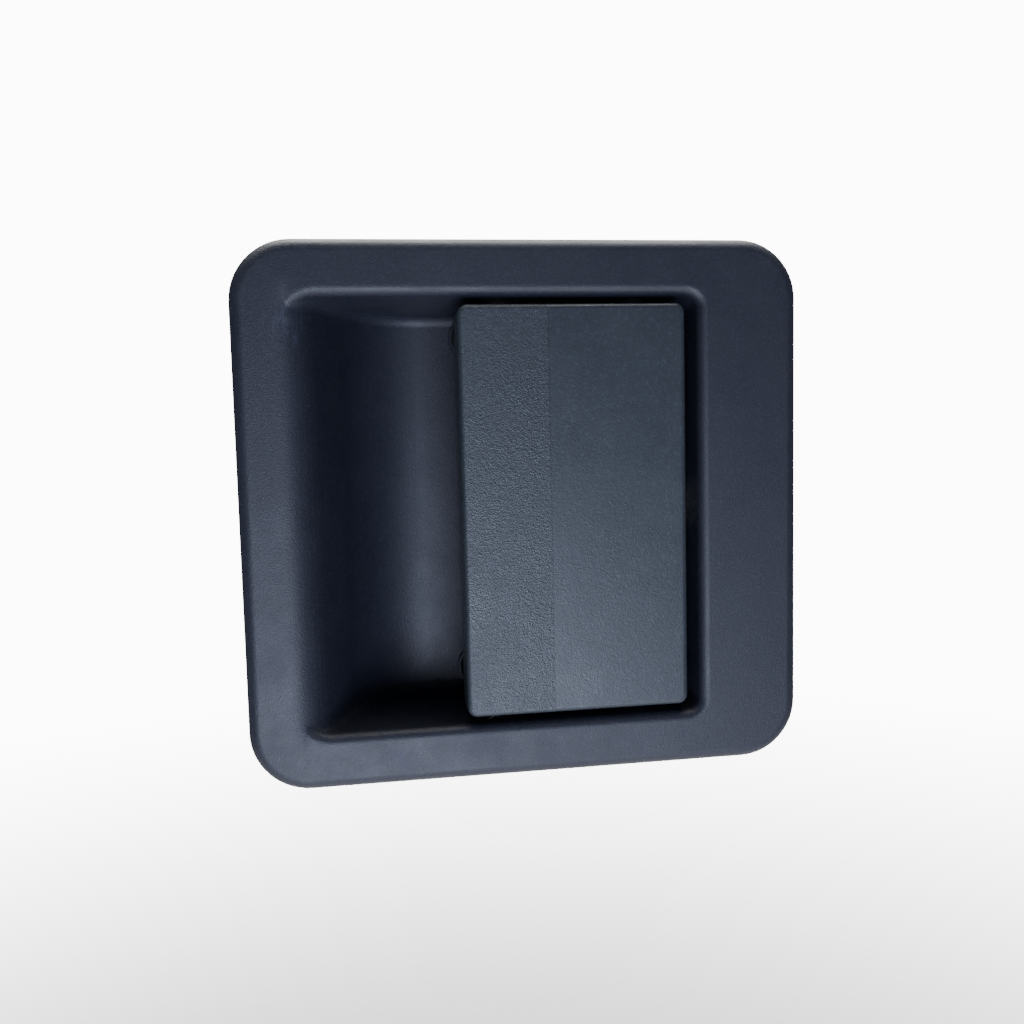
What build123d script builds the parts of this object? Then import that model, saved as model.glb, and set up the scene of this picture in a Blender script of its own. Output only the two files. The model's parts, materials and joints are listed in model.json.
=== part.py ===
"""Flush paddle door handle for a van, truck or bus door.

A square moulded bezel carries a finger pocket and a paddle that hinges on a vertical pin.
Pulling the paddle swings a release arm behind the pocket, which turns a bellcrank and pushes
the rod to the latch.

Frame, in millimetres: X to the right, Z up, Y into the door. Y = 0 is the outer skin of the
door, where the gasket's back face lies, and the origin is the middle of the flange.
"""

import os
from math import acos, cos, degrees, radians, sin, tan

from build123d import *

# ---------------------------------------------------------------- driving dimensions
FLANGE_W, FLANGE_H, FLANGE_CORNER_R = 142.0, 135.0, 15.0
FRONT_Y = -6.0  # the flange's front face
FLANGE_T = 4.0
FLANGE_EDGE_R = 3.2
LIP_W, LIP_DEPTH = 2.5, 1.4  # the rim behind the flange that hides the gasket
GASKET_T = 2.0

WALL_T = 2.8  # wall of the moulded pocket
POCKET_DEPTH = 32.0  # from the flange's front to the pocket's floor
POCKET_HALF_H = 53.7  # at the flange's front face
POCKET_RIGHT_X = 44.6
DRAFT = radians(3.5)
RIM_R, POCKET_CORNER_R = 2.6, 3.2
SCOOP_START_X = -58.0
SCOOP_START_DEG, SCOOP_STEEP_DEG = 28.0, 63.0
SCOOP_ROLL_R, SCOOP_BOWL_R = 16.0, 23.0
FLOOR_END_X, RAMP_TOP_X, SHELF_Y = 3.0, 16.0, 15.0
FLOOR_FILLET_R = 5.0

PADDLE_LEFT_X, PADDLE_RIGHT_X, PADDLE_HALF_H = -16.8, 40.9, 51.6
PADDLE_FRONT_Y, PADDLE_DEPTH, PADDLE_WALL, SKIRT_T = -6.3, 9.0, 2.4, 2.2
PADDLE_CORNER_R, PADDLE_EDGE_R = 2.5, 1.4
CREASE_X, CREASE_W, CREASE_DEPTH = 5.6, 0.3, 0.15

HINGE_X, HINGE_Y, PIN_R, PIN_HALF_L = 29.5, 3.6, 2.5, 60.0
RUNNING = 0.05  # radial clearance of a running fit
PADDLE_OPEN_DEG = 30.0
ARM_L, ARM_ROOT_R, ARM_TIP_R, ARM_HALF_T = 24.0, 3.6, 3.0, 3.0

CRANK_RATIO = 1.2
CRANK_IN_L, CRANK_OUT_L = 20.0, 26.0
CRANK_Z = -20.0
CRANK_Y, CRANK_T = 31.4, 2.5
CONTACT_R, CONTACT_GAP = 3.0, 0.18

STUD_X, STUD_Z, STUD_R, STUD_END_Y = 60.0, 56.5, 2.5, 18.0
BUMPER_X, BUMPER_Z, BUMPER_R, BUMPER_TOP_Y = -10.6, 45.5, 5.0, 18.0

# ---------------------------------------------------------------- places worked out from them
FLOOR_Y = FRONT_Y + POCKET_DEPTH
FLANGE_BACK_Y = FRONT_Y + FLANGE_T
PADDLE_REAR_Y = PADDLE_FRONT_Y + PADDLE_DEPTH
PADDLE_INNER_Y = PADDLE_FRONT_Y + PADDLE_WALL
PADDLE_MID_X = (PADDLE_LEFT_X + PADDLE_RIGHT_X) / 2
PADDLE_W = PADDLE_RIGHT_X - PADDLE_LEFT_X
HALF_SWING = radians(PADDLE_OPEN_DEG / 2)
TIP_X = HINGE_X + ARM_L * sin(HALF_SWING)
TIP_Y = HINGE_Y + ARM_L * cos(HALF_SWING)
CRANK_X = HINGE_X - ARM_TIP_R - CONTACT_R - CONTACT_GAP
CRANK_REST = HALF_SWING * CRANK_RATIO
CONTACT_X = CRANK_X + CRANK_IN_L * sin(CRANK_REST)
CONTACT_Z = CRANK_Z + CRANK_IN_L * cos(CRANK_REST)
ROD_X = CRANK_X - CRANK_OUT_L * cos(CRANK_REST)
ROD_Z = CRANK_Z + CRANK_OUT_L * sin(CRANK_REST)
FAR = 80.0  # beyond the whole part

os.makedirs("parts", exist_ok=True)


def at_y(y):
    """The plane at that Y which faces the front, with its own x along X and y along Z."""
    return Plane.XZ.offset(-y)


def save(part, name):
    """Labels a finished piece and writes it as its own STEP file."""
    part.part.label = name
    export_step(part.part, f"parts/{name}.step")


def disc_group(part_mode, centres, radius, y0, y1):
    """Adds or cuts equal cylinders along Y at (x, z) centres, from y0 to y1."""
    with BuildSketch(at_y(y1)) as discs:
        with Locations(*centres):
            Circle(radius)
    extrude(discs.sketch, amount=y1 - y0, mode=part_mode)


def web(start, start_r, end, end_r, mode=Mode.ADD):
    """Sketches an arm with round ends: two circles and the strip between them."""
    (x0, y0), (x1, y1) = start, end
    length = ((x1 - x0) ** 2 + (y1 - y0) ** 2) ** 0.5
    nx, ny = -(y1 - y0) / length, (x1 - x0) / length
    with Locations(start):
        Circle(start_r, mode=mode)
    with Locations(end):
        Circle(end_r, mode=mode)
    with BuildLine() as strip:
        Polyline(
            (x0 + nx * start_r, y0 + ny * start_r),
            (x1 + nx * end_r, y1 + ny * end_r),
            (x1 - nx * end_r, y1 - ny * end_r),
            (x0 - nx * start_r, y0 - ny * start_r),
            close=True,
        )
    make_face(strip.edges(), mode=mode)


# ---------------------------------------------------------------- bezel
ABOVE = 4.0  # how far the pocket's cutter stands in front of the flange

# Section of the pocket across Z: a rolled left side, a bowl, a floor, a ramp and a shelf.
with BuildSketch(Plane.XY) as pocket_section:
    with BuildLine():
        start_slope = tan(radians(SCOOP_START_DEG))
        top_left = (SCOOP_START_X - ABOVE / start_slope, FRONT_Y - ABOVE)
        lead_in = Line(top_left, (SCOOP_START_X, FRONT_Y))
        roll = JernArc(lead_in @ 1, lead_in % 1, SCOOP_ROLL_R, SCOOP_STEEP_DEG - SCOOP_START_DEG)
        bowl_drop = SCOOP_BOWL_R * (1 - cos(radians(SCOOP_STEEP_DEG)))
        steep_drop = FLOOR_Y - bowl_drop - (roll @ 1).Y
        steep = Line(roll @ 1, roll @ 1 + (roll % 1) * (steep_drop / sin(radians(SCOOP_STEEP_DEG))))
        bowl = JernArc(steep @ 1, steep % 1, SCOOP_BOWL_R, -SCOOP_STEEP_DEG)
        Polyline(
            bowl @ 1,
            (FLOOR_END_X, FLOOR_Y),
            (RAMP_TOP_X, SHELF_Y),
            (POCKET_RIGHT_X - (SHELF_Y - FRONT_Y) * tan(DRAFT), SHELF_Y),
            (POCKET_RIGHT_X + ABOVE * tan(DRAFT), FRONT_Y - ABOVE),
            top_left,
        )
    make_face()
    bends = [v for v in pocket_section.vertices() if v.Y > SHELF_Y - 0.1 and v.X > FLOOR_END_X - 0.1]
    fillet(bends, FLOOR_FILLET_R)


def side_walls(grow):
    """Sketches the pocket's section across X: two drafted side walls, moved out by grow."""
    deep = FAR - FRONT_Y
    wide, narrow = POCKET_HALF_H + grow + ABOVE * tan(DRAFT), POCKET_HALF_H + grow - deep * tan(DRAFT)
    with BuildLine() as walls:
        Polyline(
            (FRONT_Y - ABOVE, wide), (FAR, narrow), (FAR, -narrow), (FRONT_Y - ABOVE, -wide), close=True
        )
    make_face(walls.edges())


with BuildPart() as pocket:
    with BuildSketch(Plane.XY):
        add(pocket_section.sketch)
    extrude(amount=FAR, both=True)
    with BuildSketch(Plane.YZ):
        side_walls(0)
    extrude(amount=FAR, both=True, mode=Mode.INTERSECT)
    corners = [
        e for e in pocket.edges() if abs(e.center().Z) > 45 and e.center().Y > FRONT_Y - ABOVE + 0.01
    ]
    fillet(corners, POCKET_CORNER_R)

with BuildPart() as pocket_shell:
    with BuildSketch(Plane.XY):
        add(pocket_section.sketch)
        offset(amount=WALL_T)
    extrude(amount=FAR, both=True)
    with BuildSketch(Plane.YZ):
        side_walls(WALL_T)
    extrude(amount=FAR, both=True, mode=Mode.INTERSECT)
    with BuildSketch(at_y(FRONT_Y + 1)):
        Rectangle(2 * FAR, 2 * FAR)
    extrude(amount=-FAR, mode=Mode.INTERSECT)

STUDS = [(x, z) for x in (-STUD_X, STUD_X) for z in (-STUD_Z, STUD_Z)]
BUMPERS = [(BUMPER_X, z) for z in (-BUMPER_Z, BUMPER_Z)]
STUD_HEAD_R, STUD_HEAD_Y0, STUD_HEAD_Y1 = 4.4, -4.6, -2.6
STUD_PAD_R = 5.2
STUD_COLLAR_R, STUD_COLLAR_Y = 2.8, 0.3
BUMPER_STEM_R = 2.5
BUMPER_SEAT_R, BUMPER_SEAT_Y = 5.6, 24.0
CRANK_BOSS_R, CRANK_BOSS_Y = 6.5, 30.0
INSERT_R, INSERT_Y0 = 3.6, 20.0
SHELF_BACK_Y = SHELF_Y + WALL_T
SLOT_X0, SLOT_X1, SLOT_HALF_H = 20.4, 38.8, 4.2
HINGE_BOSS_R, HINGE_BOSS_Z = 5.6, 58.5
THRUST_R, THRUST_Z = 3.8, 49.9
SPRING_R, SPRING_WIRE_R = 4.0, 0.6
SPRING_Z0 = 14.75
RIB_T, RIB_Z, RIB_Y1 = 2.0, 36.0, 27.0
SIDE_FIN_X, FIN_T, FIN_PROUD, FIN_Y0, FIN_Y1 = (-30.0, -12.0, 12.0), 1.6, 1.2, 0.5, 22.0
BACK_RIB_X0, BACK_RIB_X1, BACK_RIB_H, BACK_RIB_Z = -24.0, 2.0, 1.4, (-36.0, 12.0, 24.0, 36.0)
CRANK_SPRING_R, CRANK_SPRING_Y0 = 8.0, 21.5
POST_R, POST_Z, POST_Y1 = 2.2, -30.0, 24.5
POST_X = CRANK_X - CRANK_SPRING_R + SPRING_WIRE_R + POST_R + 0.1
DRAIN_X, DRAIN_Z, DRAIN_R = -3.0, 40.0, 2.5

with BuildPart() as bezel:
    with BuildSketch(at_y(FLANGE_BACK_Y)):
        RectangleRounded(FLANGE_W, FLANGE_H, FLANGE_CORNER_R)
    extrude(amount=FLANGE_T)
    fillet(bezel.faces().sort_by(Axis.Y)[0].outer_wire().edges(), FLANGE_EDGE_R)
    # the lip round the back edge, and the pads that stop the gasket being crushed
    with BuildSketch(at_y(FLANGE_BACK_Y + LIP_DEPTH)):
        RectangleRounded(FLANGE_W, FLANGE_H, FLANGE_CORNER_R)
        RectangleRounded(
            FLANGE_W - 2 * LIP_W, FLANGE_H - 2 * LIP_W, FLANGE_CORNER_R - LIP_W, mode=Mode.SUBTRACT
        )
    extrude(amount=LIP_DEPTH)
    disc_group(Mode.ADD, STUDS, STUD_PAD_R, FLANGE_BACK_Y - 1, 0)
    add(pocket_shell.part)
    # bosses for the hinge pin, on both side walls, and ribs across the back of the shelf
    for side in (-1, 1):
        with BuildSketch(Plane.XY.offset(side * (POCKET_HALF_H - 0.5))):
            with Locations((HINGE_X, HINGE_Y)):
                Circle(HINGE_BOSS_R)
            with Locations((HINGE_X, (HINGE_Y + FLANGE_BACK_Y - 1) / 2)):
                Rectangle(2 * HINGE_BOSS_R, HINGE_Y - FLANGE_BACK_Y + 1)
        extrude(amount=side * (HINGE_BOSS_Z - POCKET_HALF_H + 0.5))
        with BuildSketch(Plane.XY.offset(side * RIB_Z)):
            with BuildLine():
                Polyline(
                    (8, 22), (8, RIB_Y1), (26, RIB_Y1), (44, SHELF_BACK_Y + 2), (44, SHELF_Y), (17, SHELF_Y),
                    close=True,
                )
            make_face()
        extrude(amount=RIB_T / 2, both=True)
    # fins down the outside of the side walls, and a grid of low ribs behind the pocket's floor
    for x in SIDE_FIN_X:
        with BuildSketch(Plane.YZ.offset(x)):
            side_walls(WALL_T + FIN_PROUD)
            with Locations((FIN_Y0 - FAR, 0), (FIN_Y1 + FAR, 0)):
                Rectangle(2 * FAR, 4 * FAR, mode=Mode.SUBTRACT)
        extrude(amount=FIN_T / 2, both=True)
    with BuildSketch(at_y(FLOOR_Y + WALL_T + BACK_RIB_H)):
        with Locations(*[((BACK_RIB_X0 + BACK_RIB_X1) / 2, z) for z in BACK_RIB_Z]):
            Rectangle(BACK_RIB_X1 - BACK_RIB_X0, FIN_T)
        with Locations((BACK_RIB_X0 + 4, 0)):
            Rectangle(FIN_T, BACK_RIB_Z[-1] - BACK_RIB_Z[0])
    extrude(amount=BACK_RIB_H + 1)
    disc_group(Mode.ADD, [(CRANK_X, CRANK_Z)], CRANK_BOSS_R, SHELF_Y + 1, CRANK_BOSS_Y)
    disc_group(Mode.ADD, [(POST_X, POST_Z)], POST_R, SHELF_Y + 1, POST_Y1)
    add(pocket.part, mode=Mode.SUBTRACT)
    rim = [
        e
        for e in bezel.edges()
        if abs(e.center().Y - FRONT_Y) < 0.01 and abs(e.center().Z) < 55 and abs(e.center().X) < 58
    ]
    fillet(rim, RIM_R)
    # inside the pocket: seats for the rest bumpers, and thrust faces either end of the paddle
    disc_group(Mode.ADD, BUMPERS, BUMPER_SEAT_R, BUMPER_SEAT_Y, FLOOR_Y + 1)
    for side in (-1, 1):
        with BuildSketch(Plane.XY.offset(side * THRUST_Z)):
            with Locations((HINGE_X, HINGE_Y)):
                Circle(THRUST_R)
        extrude(amount=side * (POCKET_HALF_H + 1 - THRUST_Z))
    # through the walls: hinge pin, release arm, drains, bumper stems, insert and stud heads
    with BuildSketch(Plane.XY.offset(-FAR)):
        with Locations((HINGE_X, HINGE_Y)):
            Circle(PIN_R)
    extrude(amount=2 * FAR, mode=Mode.SUBTRACT)
    with BuildSketch(at_y(FLOOR_Y)):
        with Locations(((SLOT_X0 + SLOT_X1) / 2, 0)):
            RectangleRounded(SLOT_X1 - SLOT_X0, 2 * SLOT_HALF_H, 2)
    extrude(amount=FLOOR_Y - SHELF_Y + 2, mode=Mode.SUBTRACT)
    disc_group(Mode.SUBTRACT, BUMPERS, BUMPER_STEM_R, BUMPER_SEAT_Y - 1, FLOOR_Y + 5)
    disc_group(Mode.SUBTRACT, [(DRAIN_X, -DRAIN_Z), (DRAIN_X, DRAIN_Z)], DRAIN_R, FLOOR_Y - 1, FLOOR_Y + 5)
    disc_group(Mode.SUBTRACT, [(CRANK_X, CRANK_Z)], INSERT_R, INSERT_Y0, CRANK_BOSS_Y + 1)
    disc_group(Mode.SUBTRACT, STUDS, STUD_HEAD_R, STUD_HEAD_Y0, STUD_HEAD_Y1)
    disc_group(Mode.SUBTRACT, STUDS, STUD_COLLAR_R, STUD_HEAD_Y1, 1)
    # the seat of the return spring's fixed leg
    disc_group(
        Mode.SUBTRACT, [(HINGE_X + SPRING_R, SPRING_Z0)], SPRING_WIRE_R + 0.2, SHELF_Y - 1, SHELF_Y + 1.6
    )
save(bezel, "bezel")

# ---------------------------------------------------------------- gasket and studs
GASKET_GAP = 0.2
GASKET_LEFT_X, GASKET_RIGHT_X, GASKET_HALF_H = -59.5, 49.0, 58.0
with BuildPart() as gasket:
    with BuildSketch(at_y(0)):
        inset = LIP_W + GASKET_GAP
        RectangleRounded(FLANGE_W - 2 * inset, FLANGE_H - 2 * inset, FLANGE_CORNER_R - inset)
        with Locations(((GASKET_LEFT_X + GASKET_RIGHT_X) / 2, 0)):
            RectangleRounded(GASKET_RIGHT_X - GASKET_LEFT_X, 2 * GASKET_HALF_H, 6, mode=Mode.SUBTRACT)
        with Locations(*STUDS):
            Circle(STUD_PAD_R + GASKET_GAP, mode=Mode.SUBTRACT)
        # relief for the ends of the hinge pin
        with Locations((HINGE_X, 0)):
            RectangleRounded(2 * HINGE_BOSS_R + 2, 2 * (PIN_HALF_L + 1), 2, mode=Mode.SUBTRACT)
    extrude(amount=GASKET_T)
save(gasket, "flange_gasket")

with BuildPart() as studs:
    disc_group(Mode.ADD, STUDS, STUD_HEAD_R, STUD_HEAD_Y0, STUD_HEAD_Y1)
    disc_group(Mode.ADD, STUDS, STUD_COLLAR_R, STUD_HEAD_Y1, STUD_COLLAR_Y)
    disc_group(Mode.ADD, STUDS, STUD_R, STUD_COLLAR_Y, STUD_END_Y)
    ends = [e for e in studs.edges().filter_by(GeomType.CIRCLE) if e.center().Y > STUD_END_Y - 0.01]
    chamfer(ends, 0.7)
save(studs, "mounting_studs")

# ---------------------------------------------------------------- hinge pin, clips and bumpers
CLIP_T, CLIP_R, CLIP_GROOVE_R = 0.8, 4.8, 2.0
CLIP_Z = HINGE_BOSS_Z + 0.1
with BuildPart() as hinge_pin:
    with BuildSketch(Plane.XY.offset(-PIN_HALF_L)):
        with Locations((HINGE_X, HINGE_Y)):
            Circle(PIN_R)
    extrude(amount=2 * PIN_HALF_L)
    chamfer(hinge_pin.edges().filter_by(GeomType.CIRCLE), 0.4)
    for z in (-CLIP_Z - CLIP_T, CLIP_Z):
        with BuildSketch(Plane.XY.offset(z)):
            with Locations((HINGE_X, HINGE_Y)):
                Circle(PIN_R + 1)
                Circle(CLIP_GROOVE_R, mode=Mode.SUBTRACT)
        extrude(amount=CLIP_T, mode=Mode.SUBTRACT)
save(hinge_pin, "hinge_pin")

with BuildPart() as clips:
    for z in (-CLIP_Z - CLIP_T, CLIP_Z):
        with BuildSketch(Plane.XY.offset(z)):
            with Locations((HINGE_X, HINGE_Y)):
                Circle(CLIP_R)
                Circle(CLIP_GROOVE_R, mode=Mode.SUBTRACT)
                # the clip's open mouth and the two hollows that let it spring
                with Locations((CLIP_R / 2 + 1, 0)):
                    Rectangle(CLIP_R + 2, 2 * CLIP_GROOVE_R - 0.8, mode=Mode.SUBTRACT)
                with PolarLocations(3.1, 2, start_angle=125, angular_range=220):
                    Circle(1.2, mode=Mode.SUBTRACT)
        extrude(amount=CLIP_T)
save(clips, "hinge_clips")

with BuildPart() as bumpers:
    disc_group(Mode.ADD, BUMPERS, BUMPER_R, BUMPER_TOP_Y, BUMPER_SEAT_Y)
    heads = [e for e in bumpers.edges().filter_by(GeomType.CIRCLE) if e.center().Y < BUMPER_TOP_Y + 0.01]
    fillet(heads, 1.6)
    disc_group(Mode.ADD, BUMPERS, BUMPER_STEM_R, BUMPER_SEAT_Y, FLOOR_Y + WALL_T + 0.1)
    disc_group(Mode.ADD, BUMPERS, BUMPER_STEM_R + 1, FLOOR_Y + WALL_T + 0.1, FLOOR_Y + WALL_T + 1.7)
save(bumpers, "rest_bumpers")


# ---------------------------------------------------------------- torsion springs
def wire(path, end_r=SPRING_WIRE_R):
    """Adds round spring wire along a path, with a ball at each end."""
    with BuildSketch(Plane(path @ 0, z_dir=path % 0)) as section:
        Circle(SPRING_WIRE_R)
    sweep(section.sketch, path=path)
    with Locations(path @ 0, path @ 1):
        Sphere(end_r)


def coil(axis_plane, radius, turns, left_hand=False):
    """The line of a wound wire about a plane's own z, starting on the plane's own x."""
    helix = Edge.make_helix(SPRING_PITCH, turns * SPRING_PITCH, radius, lefthand=left_hand)
    return axis_plane.from_local_coords(helix)


SPRING_PITCH, LEG_GAP = 1.5, 0.1
BEND_R = 0.62  # a hair over the wire, so that a leg in line with the winding still joins it
PADDLE_SPRING_TURNS = 7 + 90 / 360  # ends on the coil's front side
PADDLE_SPRING_LEG = 13.0
with BuildPart() as paddle_spring:
    winding_base = Plane((HINGE_X, HINGE_Y, SPRING_Z0), x_dir=(1, 0, 0))
    winding = coil(winding_base, SPRING_R, PADDLE_SPRING_TURNS, left_hand=True)
    wire(winding, BEND_R)
    wire(Edge.make_line(winding @ 0, (HINGE_X + SPRING_R, SHELF_Y + 0.8, SPRING_Z0)))
    wire(Edge.make_line(winding @ 1, winding @ 1 - Vector(PADDLE_SPRING_LEG, 0, 0)))
save(paddle_spring, "paddle_spring")

# The moving leg leans on the contact sleeve and leaves the winding at its tangent point; the
# fixed leg leaves straight down, beside the post on the bezel.
LEAN_X = CONTACT_X - CONTACT_R - SPRING_WIRE_R - LEG_GAP - CRANK_X
LEAN_Z = CONTACT_Z - CRANK_Z
LEAN_REACH = (LEAN_X**2 + LEAN_Z**2) ** 0.5
TANGENT_DEG = degrees(acos(LEAN_Z / LEAN_REACH)) - degrees(acos(CRANK_SPRING_R / LEAN_REACH))
CRANK_SPRING_TURNS = 4 + (90 + TANGENT_DEG) / 360
with BuildPart() as crank_spring:
    winding_base = Plane((CRANK_X, CRANK_SPRING_Y0, CRANK_Z), x_dir=(-1, 0, 0), z_dir=(0, 1, 0))
    winding = coil(winding_base, CRANK_SPRING_R, CRANK_SPRING_TURNS)
    wire(winding)
    wire(Edge.make_line(winding @ 1, (CRANK_X + LEAN_X, (winding @ 1).Y, CRANK_Z + LEAN_Z)))
    wire(Edge.make_line(winding @ 0, ((winding @ 0).X, CRANK_SPRING_Y0, POST_Z - 1.5)))
save(crank_spring, "bellcrank_spring")

# ---------------------------------------------------------------- paddle
STOP_LEG_R = 4.0
SCREWS = [(x, side * z) for x, z in ((6.0, 38.0), (18.0, 9.0)) for side in (-1, 1)]
SCREW_BOSS_R, SCREW_R, SCREW_Y0 = 3.4, 1.5, -4.9
LEVER_Y0, LEVER_T = 0.4, 2.0
PADDLE_RIB_T, PADDLE_RIB_Y1 = 1.6, -0.4
NOTCH_R = 4.8

with BuildPart() as paddle:
    with BuildSketch(at_y(PADDLE_REAR_Y)):
        with Locations((PADDLE_MID_X, 0)):
            RectangleRounded(PADDLE_W, 2 * PADDLE_HALF_H, PADDLE_CORNER_R)
    extrude(amount=PADDLE_DEPTH)
    fillet(paddle.faces().sort_by(Axis.Y)[0].outer_wire().edges(), PADDLE_EDGE_R)
    with BuildSketch(at_y(PADDLE_REAR_Y)):
        with Locations((PADDLE_MID_X, 0)):
            Rectangle(PADDLE_W - 2 * SKIRT_T, 2 * (PADDLE_HALF_H - SKIRT_T))
    extrude(amount=PADDLE_REAR_Y - PADDLE_INNER_Y, mode=Mode.SUBTRACT)
    # ribs behind the grip, screw bosses under the lever, and the two legs that meet the bumpers
    with BuildSketch(at_y(PADDLE_RIB_Y1)):
        with Locations((PADDLE_LEFT_X + 12, 0)):
            Rectangle(PADDLE_RIB_T, 2 * PADDLE_HALF_H - SKIRT_T)
        with GridLocations(0, 26, 1, 3):
            with Locations((PADDLE_LEFT_X + 12, 0)):
                Rectangle(24 - SKIRT_T, PADDLE_RIB_T)
    extrude(amount=PADDLE_RIB_Y1 - PADDLE_INNER_Y + 0.5)
    disc_group(Mode.ADD, SCREWS, SCREW_BOSS_R, PADDLE_INNER_Y - 0.5, LEVER_Y0)
    disc_group(Mode.ADD, BUMPERS, STOP_LEG_R, PADDLE_INNER_Y - 0.5, BUMPER_TOP_Y)
    disc_group(Mode.SUBTRACT, SCREWS, SCREW_R, SCREW_Y0, LEVER_Y0 + 1)
    # clearance round the bezel's thrust bosses
    with BuildSketch(Plane.XY):
        with Locations((HINGE_X, HINGE_Y)):
            Circle(NOTCH_R)
    extrude(amount=FAR, both=True, mode=Mode.SUBTRACT)
    # the fine line down the front where the coarse grip grain stops
    with BuildSketch(at_y(PADDLE_FRONT_Y + CREASE_DEPTH)):
        with Locations((CREASE_X, 0)):
            Rectangle(CREASE_W, 2 * FAR)
    extrude(amount=2, mode=Mode.SUBTRACT)
save(paddle, "paddle")

# ---------------------------------------------------------------- lever behind the paddle
EAR_Z, EAR_T, HUB_R = 46.5, 2.5, 5.5
LEVER_LEFT_X, LEVER_RIGHT_X, LEVER_HALF_H = 1.5, 22.0, 46.5
BUSH_R, BUSH_FLANGE_R, BUSH_FLANGE_T = 3.5, 4.2, 0.8
WINDOW_X, WINDOW_Z, WINDOW_W, WINDOW_H = 12.0, 24.0, 11.0, 18.0
CAP_T = 1.1


def hub_arm(reach_x):
    """Sketches the strap from the lever's plate to its hub round the pin."""
    with BuildLine() as strap:
        Polyline(
            (reach_x, LEVER_Y0),
            (HINGE_X - 1, HINGE_Y - HUB_R + 0.2),
            (HINGE_X - 1, HINGE_Y + HUB_R - 0.2),
            (reach_x, LEVER_Y0 + LEVER_T),
            close=True,
        )
    make_face(strap.edges())
    with Locations((HINGE_X, HINGE_Y)):
        Circle(HUB_R)


with BuildPart() as lever:
    with BuildSketch(at_y(LEVER_Y0 + LEVER_T)):
        with Locations(((LEVER_LEFT_X + LEVER_RIGHT_X) / 2, 0)):
            RectangleRounded(LEVER_RIGHT_X - LEVER_LEFT_X, 2 * LEVER_HALF_H, 3)
        with Locations((WINDOW_X, WINDOW_Z), (WINDOW_X, -WINDOW_Z)):
            RectangleRounded(WINDOW_W, WINDOW_H, 2, mode=Mode.SUBTRACT)
    extrude(amount=LEVER_T)
    for z in (EAR_Z, -EAR_Z - EAR_T):
        with BuildSketch(Plane.XY.offset(z)):
            hub_arm(LEVER_LEFT_X + 3)
        extrude(amount=EAR_T)
    with BuildSketch(Plane.XY.offset(-ARM_HALF_T)):
        hub_arm(LEVER_LEFT_X + 6)
        web((HINGE_X, HINGE_Y), ARM_ROOT_R, (TIP_X, TIP_Y), ARM_TIP_R - CAP_T)
    extrude(amount=2 * ARM_HALF_T)
    with BuildSketch(Plane.XY.offset(-FAR)):
        with Locations((HINGE_X, HINGE_Y)):
            Circle(BUSH_R)
    extrude(amount=2 * FAR, mode=Mode.SUBTRACT)
    disc_group(Mode.SUBTRACT, SCREWS, SCREW_R + 0.2, LEVER_Y0 - 1, LEVER_Y0 + LEVER_T + 1)
save(lever, "paddle_lever")

with BuildPart() as tip_cap:
    with BuildSketch(Plane.XY.offset(-ARM_HALF_T)):
        with Locations((TIP_X, TIP_Y)):
            Circle(ARM_TIP_R)
        web((HINGE_X, HINGE_Y), ARM_ROOT_R, (TIP_X, TIP_Y), ARM_TIP_R - CAP_T, mode=Mode.SUBTRACT)
    extrude(amount=2 * ARM_HALF_T)
save(tip_cap, "arm_tip_cap")

with BuildPart() as bushes:
    for side in (-1, 1):
        with BuildSketch(Plane.XY.offset(side * EAR_Z)):
            with Locations((HINGE_X, HINGE_Y)):
                Circle(BUSH_R)
                Circle(PIN_R + RUNNING, mode=Mode.SUBTRACT)
        extrude(amount=side * EAR_T)
        with BuildSketch(Plane.XY.offset(side * (EAR_Z + EAR_T))):
            with Locations((HINGE_X, HINGE_Y)):
                Circle(BUSH_FLANGE_R)
                Circle(PIN_R + RUNNING, mode=Mode.SUBTRACT)
        extrude(amount=side * BUSH_FLANGE_T)
save(bushes, "hinge_bushes")

PAN_R, PAN_T = 3.0, 1.9
with BuildPart() as lever_screws:
    disc_group(Mode.ADD, SCREWS, PAN_R, LEVER_Y0 + LEVER_T, LEVER_Y0 + LEVER_T + PAN_T)
    domes = [e for e in lever_screws.edges() if e.center().Y > LEVER_Y0 + LEVER_T + PAN_T - 0.01]
    fillet(domes, 0.9)
    disc_group(Mode.ADD, SCREWS, SCREW_R, SCREW_Y0 + 0.3, LEVER_Y0 + LEVER_T)
    with BuildSketch(at_y(LEVER_Y0 + LEVER_T + PAN_T)):
        with Locations(*SCREWS):
            Rectangle(2.8, 0.7)
            Rectangle(0.7, 2.8)
    extrude(amount=1.1, mode=Mode.SUBTRACT)
save(lever_screws, "lever_screws")

# ---------------------------------------------------------------- bellcrank and its pivot
SHOULDER_R, SHOULDER_Y1 = 2.95, 34.0
THREAD_R, THREAD_Y0 = 2.0, 22.0
HEAD_R, HEAD_T, HEX_R, HEX_DEPTH = 5.6, 2.6, 1.73, 1.6
WASHER_R, WASHER_T = 6.4, 0.6
CRANK_BUSH_R, CRANK_BUSH_FLANGE_R = 4.4, 5.8
CRANK_BUSH_Y0, CRANK_BUSH_Y1 = 30.65, 33.95
PIN_SHAFT_R, PIN_HEAD_R, PIN_HEAD_T = 1.6, 2.7, 0.9
SLEEVE_Y0, SLEEVE_Y1 = 24.6, 31.3
CLIP_BARREL_R = 3.0
CRANK = [(CRANK_X, CRANK_Z)]
CONTACT = [(CONTACT_X, CONTACT_Z)]
ROD = [(ROD_X, ROD_Z)]

with BuildPart() as insert:
    disc_group(Mode.ADD, CRANK, INSERT_R, INSERT_Y0, CRANK_BOSS_Y)
    disc_group(Mode.SUBTRACT, CRANK, THREAD_R, INSERT_Y0 - 1, CRANK_BOSS_Y + 1)
save(insert, "bellcrank_insert")

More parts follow.
